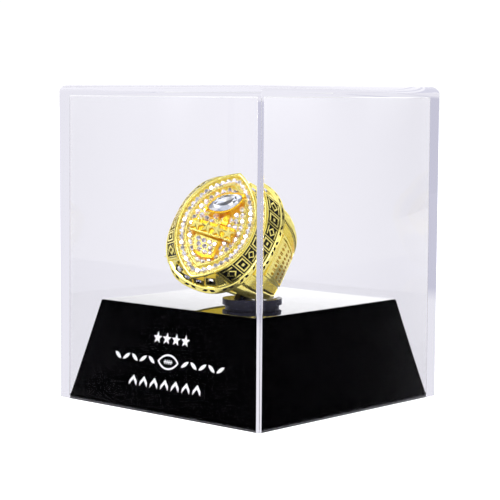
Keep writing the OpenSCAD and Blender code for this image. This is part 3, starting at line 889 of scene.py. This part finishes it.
def buildTrophy():
    bed = ringSizes["bed"]
    shape = Shape()
    outer = trophy["pedestalOuter"]
    softSlab(shape, [(2.25, -3.3), (2.95, -3.3), (2.8, -7.45), (2.2, -7.0)], bed - 0.1, bed + 1.55, 0.14)
    softSlab(shape, [(-2.0, -7.0), (0.4, -7.45), (2.3, -7.0), (2.75, -7.45), (0.4, -8.1), (-2.0, -7.6)],
             bed - 0.1, bed + 1.5, 0.14)
    tray = Shape()
    slab(tray, outer, bed - 0.1, bed + 0.9)
    makeMesh("pedestalTray", tray, "gold", "ring", ringMatrix, merge=False)
    for k in range(3):  # stem with two collars
        ring = [(1.7 + (0.6 + 0.15 * (k == 1)) * math.cos(2 * math.pi * i / 20),
                 1.6 + (0.6 + 0.15 * (k == 1)) * math.sin(2 * math.pi * i / 20))
                for i in range(20)]
        slab(shape, ring, bed - 0.1 + k * 0.6, bed + 0.5 + k * 0.6)
    softSlab(shape, [(1.0, 0.2), (2.5, 0.2), (2.2, 3.2), (1.3, 3.2)], bed - 0.1, bed + 1.5, 0.25)
    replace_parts(makeMesh("trophyPedestal", shape, "relief", "ring", ringMatrix, smooth=30,
                         merge=False),
                "trophy_pedestal")
    plate, stars = Shape(), Shape()
    lean = 4
    outline = spun([(-4.9, -1.5), (-4.4, -1.62), (4.5, -1.62), (4.9, -1.5), (4.95, 1.3), (4.6, 1.5),
                    (2.2, 1.45), (-4.5, 1.3), (-4.95, 1.1)],
                   lean, 0, -1.5)
    softSlab(plate, outline, bed + 0.7, bed + 1.75, 0.2)
    for i in (-1.5, -0.5, 0.5, 1.5):
        star = spun(starPoints(1.52), lean + 6 * i, i * 2.42, -1.6 + i * 2.42 * 0.07)
        slab(stars, star, bed + 1.7, bed + 2.3)
        n = len(star)
        cx, cy = sum(p[0] for p in star) / n, sum(p[1] for p in star) / n
        stars.add([(x, y, bed + 2.3) for x, y in star] + [(cx, cy, bed + 2.66)],
                  [(k, (k + 1) % n, n) for k in range(n)])
    edge = spun([(-4.8, -1.6), (4.8, -1.6), (4.8, -1.3), (-4.8, -1.3)], lean, 0, -1.5)
    softSlab(stars, edge, bed + 1.6, bed + 2.1, 0.08)
    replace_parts(makeMesh("starBanner", stars, "gold", "ring", ringMatrix, merge=False),
                "star_banner")
    makeMesh("bannerPlate", plate, "relief", "ring", ringMatrix, smooth=30)
    under = Shape()
    softSlab(under, [(-3.9, -3.2), (4.3, -2.8), (4.1, 0.0), (-3.7, -0.4)], bed - 0.1, bed + 0.75, 0.1)
    # the root under the banner is painted a darker gold: painted shade under the banner
    makeMesh("bannerRoot", under, "paintedShadeGold", "ring", ringMatrix, smooth=30)


def buildLargeStone():
    bed = ringSizes["bed"]
    a, b = trophy["stoneHalfLength"], trophy["stoneHalfWidth"]
    cx, cy = trophy["stoneCentre"]
    place = ringMatrix @ Matrix.Translation((cx, cy, bed)) @ turn("Z", trophy["stoneLean"])
    cup = Shape()
    n = 48
    rows = [(0.5, 0.0), (0.62, 0.5), (0.86, 1.05), (1.04, 1.45), (1.1, 1.75), (1.1, 2.0), (1.05, 2.12),
            (0.98, 2.12), (0.94, 1.95), (0.6, 1.7)]
    for k, z in rows:
        for i in range(n):
            t = 2 * math.pi * i / n
            r = ovalRadius(t, a * k if k < 1 else a + (k - 1) * 4, b * k if k < 1 else b + (k - 1) * 3)
            cup.points.append((r * math.cos(t), r * math.sin(t), z))
    cup.faces = gridFaces(len(rows), n, True) + [tuple(range(n))[::-1],
                                                 tuple((len(rows) - 1) * n + i for i in range(n))]
    for end in (1, -1):  # claws over the two points
        prong = [(-0.42, end * (a + 0.42)), (0.42, end * (a + 0.42)), (0.3, end * (a - 0.5)),
                 (-0.3, end * (a - 0.5))]
        if end < 0:
            prong = prong[::-1]
        softSlab(cup, prong, 1.6, 2.5, 0.12)
    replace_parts(makeMesh("stoneSetting", cup, "relief", "ring", place, smooth=35,
                         merge=False), "stone_setting")
    gem = Shape()
    levels = [(1.0, 2.05, 0.0), (0.97, 2.2, 0.0), (0.74, 2.62, 0.5), (0.5, 2.86, 0.0)]
    sides = 16
    for k, z, shift in levels:
        for i in range(sides):
            t = 2 * math.pi * (i + shift) / sides
            r = ovalRadius(t, a * k, b * k)
            gem.points.append((r * math.cos(t), r * math.sin(t), z))
    gem.faces = gridFaces(2, sides, True)
    for i in range(sides):
        j = (i + 1) % sides
        low, kite, table = sides, 2 * sides, 3 * sides
        gem.faces += [(low + i, low + j, kite + i), (low + j, kite + j, kite + i),
                      (kite + i, kite + j, table + j),
                      (kite + i, table + j, table + i)]
    gem.points.append((0.15, 0.2, 2.9))
    gem.faces += [(3 * sides + i, 3 * sides + (i + 1) % sides, 4 * sides) for i in range(sides)]
    gem.faces.append(tuple(range(sides))[::-1])
    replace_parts(makeMesh("largeStone", gem, "bigStone", "ring", place, merge=False),
                "large_stone")


buildTrophy()
buildLargeStone()
print("trophy and large stone made")


fretLines = {"line": 0.27, "cross": 0.085, "low": 0.15, "high": 0.85}


# block on the skirt's side; corners are (y, t) in order round a quadrilateral
def wallPatch(shape, side, corners, low, high, steps=6):
    (y0, t0), (y1, t1), (y2, t2), (y3, t3) = corners
    points = []
    for lift in (low, high):
        for i in range(steps + 1):
            k = i / steps
            points.append(wallPoint(side, y0 + (y1 - y0) * k, t0 + (t1 - t0) * k, lift))
            points.append(wallPoint(side, y3 + (y2 - y3) * k, t3 + (t2 - t3) * k, lift))
    m = 2 * (steps + 1)
    faces = []
    for i in range(steps):
        a = 2 * i
        faces += [(a, a + 1, a + 3, a + 2), (m + a, m + a + 2, m + a + 3, m + a + 1),
                  (a, a + 2, m + a + 2, m + a), (a + 1, m + a + 1, m + a + 3, a + 3)]
    faces += [(0, m, m + 1, 1), (2 * steps, 2 * steps + 1, m + 2 * steps + 1, m + 2 * steps)]
    shape.add(points, faces)


def bar(shape, side, y0, y1, t0, t1, low=-0.05, high=0.3):
    wallPatch(shape, side, [(y0, t0), (y1, t0), (y1, t1), (y0, t1)], low, high)


def frameMark(shape, side, y, wide, thick, t0, t1, tThick):
    bar(shape, side, y - wide / 2, y + wide / 2, t0, t0 + tThick)
    bar(shape, side, y - wide / 2, y + wide / 2, t1 - tThick, t1)
    bar(shape, side, y - wide / 2, y - wide / 2 + thick, t0, t1)
    bar(shape, side, y + wide / 2 - thick, y + wide / 2, t0, t1)


def buildSides(f):
    line, tall = f["line"], f["cross"]
    low, high = f["low"], f["high"]
    for side, word in ((1, "Right"), (-1, "Left")):
        enamel = Shape()
        wallPatch(enamel, side, [(-9.9, 0.03), (9.9, 0.03), (9.9, 0.96), (-9.9, 0.96)], -0.3, 0.02, 44)
        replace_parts(makeMesh("enamel" + word, enamel, "enamel", "ring", ringMatrix,
                             smooth=30, merge=False),
                    "enamel_" + word.lower())
        fret = Shape()
        for i, y in enumerate([-8.25, -5.5, -2.75, 0.0, 2.75, 5.5, 8.25]):
            if i % 2 == 1:  # nested squares
                frameMark(fret, side, y, 1.95, line, low, high, tall)
                bar(fret, side, y - 0.3, y + 0.3, 0.43, 0.57)
            else:  # diamond with a bar above and below
                mid = (low + high) / 2
                reach, rise = 0.95, 0.25
                for sy in (-1, 1):
                    for st in (-1, 1):
                        corners = [(y + sy * reach, mid), (y + sy * (reach - line * 1.3), mid),
                                   (y, mid + st * (rise - 0.08)), (y, mid + st * rise)]
                        wallPatch(fret, side, corners, -0.05, 0.3)
                bar(fret, side, y - 0.95, y + 0.95, low, low + 0.06)
                bar(fret, side, y - 0.95, y + 0.95, high - 0.06, high)
        for y in (-6.87, -4.12, -1.37, 1.37, 4.12, 6.87, -9.55, 9.55):
            bar(fret, side, y - 0.09, y + 0.09, 0.06, 0.94, -0.05, 0.24)
        for t0, t1 in ((-0.02, 0.04), (0.93, 1.0)):
            wallPatch(fret, side, [(-9.9, t0), (9.9, t0), (9.9, t1), (-9.9, t1)], -0.1, 0.28, 44)
        for end in (-1, 1):
            bar(fret, side, end * 9.95 - 0.14, end * 9.95 + 0.14, 0.0, 0.98)
        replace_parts(makeMesh("fret" + word, fret, "gold", "ring", ringMatrix, smooth=30,
                             merge=False),
                    "fret_" + word.lower())


# block on the band's outside; corners are (angle, across) round a quadrilateral
def bandPatch(shape, side, corners, low, high, steps=6):
    (a0, v0), (a1, v1), (a2, v2), (a3, v3) = corners
    points = []
    for lift in (low, high):
        for i in range(steps + 1):
            k = i / steps
            points.append(bandPoint(side, a0 + (a1 - a0) * k, v0 + (v1 - v0) * k, lift))
            points.append(bandPoint(side, a3 + (a2 - a3) * k, v3 + (v2 - v3) * k, lift))
    m = 2 * (steps + 1)
    faces = []
    for i in range(steps):
        a = 2 * i
        faces += [(a, a + 1, a + 3, a + 2), (m + a, m + a + 2, m + a + 3, m + a + 1),
                  (a, a + 2, m + a + 2, m + a), (a + 1, m + a + 1, m + a + 3, a + 3)]
    faces += [(0, m, m + 1, 1), (2 * steps, 2 * steps + 1, m + 2 * steps + 1, m + 2 * steps)]
    shape.add(points, faces)


def patchBox(shape, side, angle0, angle1, v0, v1, low=-0.3, high=0.0, steps=6):
    bandPatch(shape, side, [(angle0, v0), (angle1, v0), (angle1, v1), (angle0, v1)], low, high, steps)


def buildShoulders():
    for side, word in ((1, "Right"), (-1, "Left")):
        dark, gold = Shape(), Shape()
        patchBox(dark, side, 44, 128, -0.84, 0.84, -0.6, -0.24, 30)
        # plate that carries three rows of marks
        patchBox(gold, side, 62, 104, -0.42, 0.46, -0.3, 0.02, 18)
        for a0, a1 in ((60.0, 61.4), (104.6, 106.0)):
            patchBox(gold, side, a0, a1, -0.5, 0.54, -0.3, 0.1, 3)
        for v0, v1 in ((-0.5, -0.46), (0.5, 0.54)):
            patchBox(gold, side, 60, 106, v0, v1, -0.3, 0.1, 18)
        marks = Shape()
        for row, angle in enumerate((70, 82, 94)):
            for i in range(8):
                v = -0.36 + i * 0.108
                if (i + row) % 2 == 0:  # diamond
                    bandPatch(marks, side, [(angle - 3.2, v), (angle, v - 0.035), (angle + 3.2, v),
                                            (angle, v + 0.035)], 0.0, 0.06, 2)
                else:  # two short bars
                    patchBox(marks, side, angle - 2.8, angle + 2.8, v - 0.028, v - 0.01, 0.0, 0.06, 2)
                    patchBox(marks, side, angle - 2.8, angle + 2.8, v + 0.01, v + 0.028, 0.0, 0.06, 2)
        # the marks are painted a darker gold: painted shade round the raised marks
        makeMesh("shoulderMarks" + word, marks, "paintedShadeGold", "ring", ringMatrix, merge=False)
        # ribs above the plate and a beaded mesh below it
        for i in range(30):
            angle = 47 + i * 2.6
            patchBox(gold, side, angle, angle + 0.85, 0.58, 0.82, -0.3, -0.08, 2)
        for i in range(36):
            angle = 46 + i * 2.25
            for j in range(8):
                v = -0.82 + j * 0.04 + (0.02 if i % 2 else 0.0)
                if v < -0.54:
                    patchBox(gold, side, angle, angle + 0.75, v, v + 0.013, -0.3, -0.15, 1)
        for i in range(6):
            for j in range(40):
                angle = 45.5 + i * 2.3
                v = -0.82 + j * 0.042 + (0.021 if i % 2 else 0.0)
                if v < 0.8:
                    patchBox(gold, side, angle, angle + 0.75, v, v + 0.013, -0.3, -0.15, 1)
        shoulder = makeMesh("shoulder" + word, gold, "gold", "ring", ringMatrix, merge=False)
        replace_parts(shoulder, "shoulder_" + word.lower())
        makeMesh("shoulderRecess" + word, dark, "recess", "ring", ringMatrix, smooth=30,
                 merge=False)


buildSides(fretLines)
buildShoulders()
print("sides and shoulders made")


studio = {
    "floorSize": 12.0, "floorGlow": 0.62, "floorMirror": 0.95,
    "plainColour": (1.0, 0.99, 1.05, 1), "plainWhite": 0.985, "guidedWhite": 0.86, "mirrorWhite": 1.4,
    "patchScale": 2.6, "patchEdge": (0.40, 0.54), "patchDark": 0.09, "keyPower": 0.5,
}


def mathNode(nodes, links, kind, *values):
    node = nodes.new("ShaderNodeMath")
    node.operation = kind
    for socket, value in zip(node.inputs, values):
        if isinstance(value, (int, float)):
            socket.default_value = value
        else:
            links.new(value, socket)
    return node.outputs[0]


def smoothStep(nodes, links, value, low, high):
    node = nodes.new("ShaderNodeMapRange")
    node.interpolation_type = "SMOOTHSTEP"
    node.inputs["From Min"].default_value = low
    node.inputs["From Max"].default_value = high
    links.new(value, node.inputs["Value"])
    return node.outputs[0]


def pick(nodes, links, factor, first, second):
    mix = nodes.new("ShaderNodeMixShader")
    links.new(factor, mix.inputs[0])
    links.new(first, mix.inputs[1])
    links.new(second, mix.inputs[2])
    return mix.outputs[0]


def glow(nodes, kind, colour, strength):
    node = nodes.new(kind)
    node.inputs[0].default_value = colour
    node.inputs[1].default_value = strength
    return node


# how a ray got here: one of its first two reflections, guided inside the walls, inside the cover, or straight
def rayKinds(nodes, links):
    path = nodes.new("ShaderNodeLightPath")
    depth = path.outputs["Glossy Depth"]
    guided = mathNode(nodes, links, "GREATER_THAN", depth, 2.5)
    mirror = mathNode(nodes, links, "MULTIPLY", mathNode(nodes, links, "GREATER_THAN", depth, 0.5),
                      mathNode(nodes, links, "LESS_THAN", depth, 2.5))
    inside = mathNode(nodes, links, "GREATER_THAN", path.outputs["Transmission Depth"], 3.5)
    return mirror, guided, inside, path.outputs["Is Camera Ray"]


# +1 straight behind the case, -1 in front of it
def alongView(nodes, links, vector):
    split = nodes.new("ShaderNodeSeparateXYZ")
    links.new(vector, split.inputs[0])
    along = mathNode(nodes, links, "ADD", mathNode(nodes, links, "MULTIPLY", split.outputs[0], -0.67),
                     mathNode(nodes, links, "MULTIPLY", split.outputs[1], 0.742))
    return along, split.outputs[2]


def buildFloor(s):
    shape = Shape()
    half = s["floorSize"] * 500
    shape.add([(-half, -half, 0), (half, -half, 0), (half, half, 0), (-half, half, 0)], [(0, 1, 2, 3)])
    mat, nodes, links, shader, out = newMaterial("paleFloor")
    cloud = noiseNode(nodes, links, 40, 2.0)
    tone = ramp(nodes, links, cloud.outputs["Fac"], [(0.3, (0.93, 0.93, 0.94)), (0.7, (0.95, 0.95, 0.955))])
    links.new(tone.outputs[0], shader.inputs["Base Color"])
    shader.inputs["Roughness"].default_value = 0.8
    shader.inputs["Specular IOR Level"].default_value = 0.0
    shader.inputs["Emission Color"].default_value = (1, 1, 1, 1)
    shader.inputs["Emission Strength"].default_value = s["floorGlow"]
    mirror, guided, inside, straight = rayKinds(nodes, links)
    coords = nodes.new("ShaderNodeTexCoord")
    unit = nodes.new("ShaderNodeVectorMath")
    unit.operation = "NORMALIZE"
    links.new(coords.outputs["Object"], unit.inputs[0])
    along, _ = alongView(nodes, links, unit.outputs[0])
    behind = smoothStep(nodes, links, along, 0.3, 0.6)
    lit = mathNode(nodes, links, "MAXIMUM", behind, inside)
    mirrored = pick(nodes, links, lit, glow(nodes, "ShaderNodeEmission", (0, 0, 0, 1), 0).outputs[0],
                    glow(nodes, "ShaderNodeEmission", (1, 1, 1, 1), s["floorMirror"]).outputs[0])
    plain = glow(nodes, "ShaderNodeEmission", s["plainColour"], s["plainWhite"]).outputs[0]
    soft = glow(nodes, "ShaderNodeEmission", s["plainColour"], s["guidedWhite"]).outputs[0]
    seen = pick(nodes, links, straight, plain, shader.outputs[0])
    seen = pick(nodes, links, guided, seen, soft)
    links.new(pick(nodes, links, mirror, seen, mirrored), out.inputs[0])
    looks["floor"] = mat
    floor = makeMesh("paleFloor", shape, "floor", None)
    floor.location.z = -0.00002


# white all round for plain sight, with darker low sides and bright patches that only reflections see
def buildWorld(s):
    world = bpy.data.worlds.new("studioWorld")
    bpy.context.scene.world = world
    world.use_nodes = True
    nodes, links = world.node_tree.nodes, world.node_tree.links
    nodes.clear()
    out = nodes.new("ShaderNodeOutputWorld")
    sky = "ShaderNodeBackground"
    coords = nodes.new("ShaderNodeTexCoord")
    along, up = alongView(nodes, links, coords.outputs["Generated"])
    mirror, guided, inside, straight = rayKinds(nodes, links)
    backdrop = smoothStep(nodes, links, along, 0.45, 0.8)
    upper = mathNode(nodes, links, "MAXIMUM", smoothStep(nodes, links, up, 0.05, 0.2), inside)
    patches = nodes.new("ShaderNodeTexNoise")
    patches.inputs["Scale"].default_value = s["patchScale"]
    patches.inputs["Detail"].default_value = 1.0
    links.new(coords.outputs["Generated"], patches.inputs["Vector"])
    spots = smoothStep(nodes, links, patches.outputs["Fac"], s["patchEdge"][0], s["patchEdge"][1])
    spotted = mathNode(nodes, links, "ADD", mathNode(nodes, links, "MULTIPLY", spots,
                                                     1.0 - s["patchDark"]), s["patchDark"])
    bright = mathNode(nodes, links, "MAXIMUM", backdrop, mathNode(nodes, links, "MULTIPLY", upper, spotted))
    mirrored = glow(nodes, sky, (1, 1, 1, 1), 1.0)
    links.new(mathNode(nodes, links, "MULTIPLY", bright, s["mirrorWhite"]), mirrored.inputs[1])
    plain = glow(nodes, sky, s["plainColour"], s["plainWhite"]).outputs[0]
    soft = glow(nodes, sky, s["plainColour"], s["guidedWhite"]).outputs[0]
    openSky = glow(nodes, sky, (1, 1, 1, 1), 1.05).outputs[0]
    seen = pick(nodes, links, straight, plain, openSky)
    seen = pick(nodes, links, guided, seen, soft)
    links.new(pick(nodes, links, mirror, seen, mirrored.outputs[0]), out.inputs[0])


lamps = {
    "frontKey": {"place": (0.10, -0.55, 0.42), "size": (0.25, 0.2), "share": 3},
    "sideKey": {"place": (0.55, -0.25, 0.30), "size": (0.10, 0.25), "share": 1.2},
}


def addLamp(name, place, target, size, power):
    lamp = bpy.data.lights.new(name, "AREA")
    lamp.shape = "RECTANGLE"
    lamp.size, lamp.size_y = size
    lamp.energy = power
    thing = bpy.data.objects.new(name, lamp)
    thing.location = place
    thing.rotation_euler = (Vector(target) - Vector(place)).to_track_quat("-Z", "Y").to_euler()
    thing.visible_camera = False
    bpy.context.scene.collection.objects.link(thing)


cameraPlace = {"azimuth": 42.046, "elevation": 5.306, "roll": 0.364, "distance": 0.37627, "lens": 120.62,
               "aim": (0.00007, 0.00006, 0.03318)}


def buildCamera(c):
    a, e, r = (math.radians(c[k]) for k in ("azimuth", "elevation", "roll"))
    back = Vector((math.sin(a) * math.cos(e), -math.cos(a) * math.cos(e), math.sin(e)))
    right = Vector((math.cos(a), math.sin(a), 0))
    up = back.cross(right)
    across = right * math.cos(r) + up * math.sin(r)
    upward = up * math.cos(r) - right * math.sin(r)
    camera = bpy.data.cameras.new("camera")
    camera.lens = c["lens"]
    camera.sensor_width = 36
    camera.clip_start = 0.01
    camera.clip_end = 50
    thing = bpy.data.objects.new("camera", camera)
    bpy.context.scene.collection.objects.link(thing)
    placed = Matrix((across, upward, back)).transposed().to_4x4()
    placed.translation = Vector(c["aim"]) + back * c["distance"]
    thing.matrix_world = placed
    bpy.context.scene.camera = thing


buildFloor(studio)
buildWorld(studio)
for lampName, lamp in lamps.items():
    addLamp(lampName, lamp["place"], (0, 0, 0.04), lamp["size"], studio["keyPower"] * lamp["share"])
buildCamera(cameraPlace)

scene = bpy.context.scene
scene.view_settings.view_transform = "Standard"
scene.cycles.max_bounces = 64
scene.cycles.transmission_bounces = 24
scene.cycles.glossy_bounces = 48
scene.cycles.use_denoising = True
print("studio made")
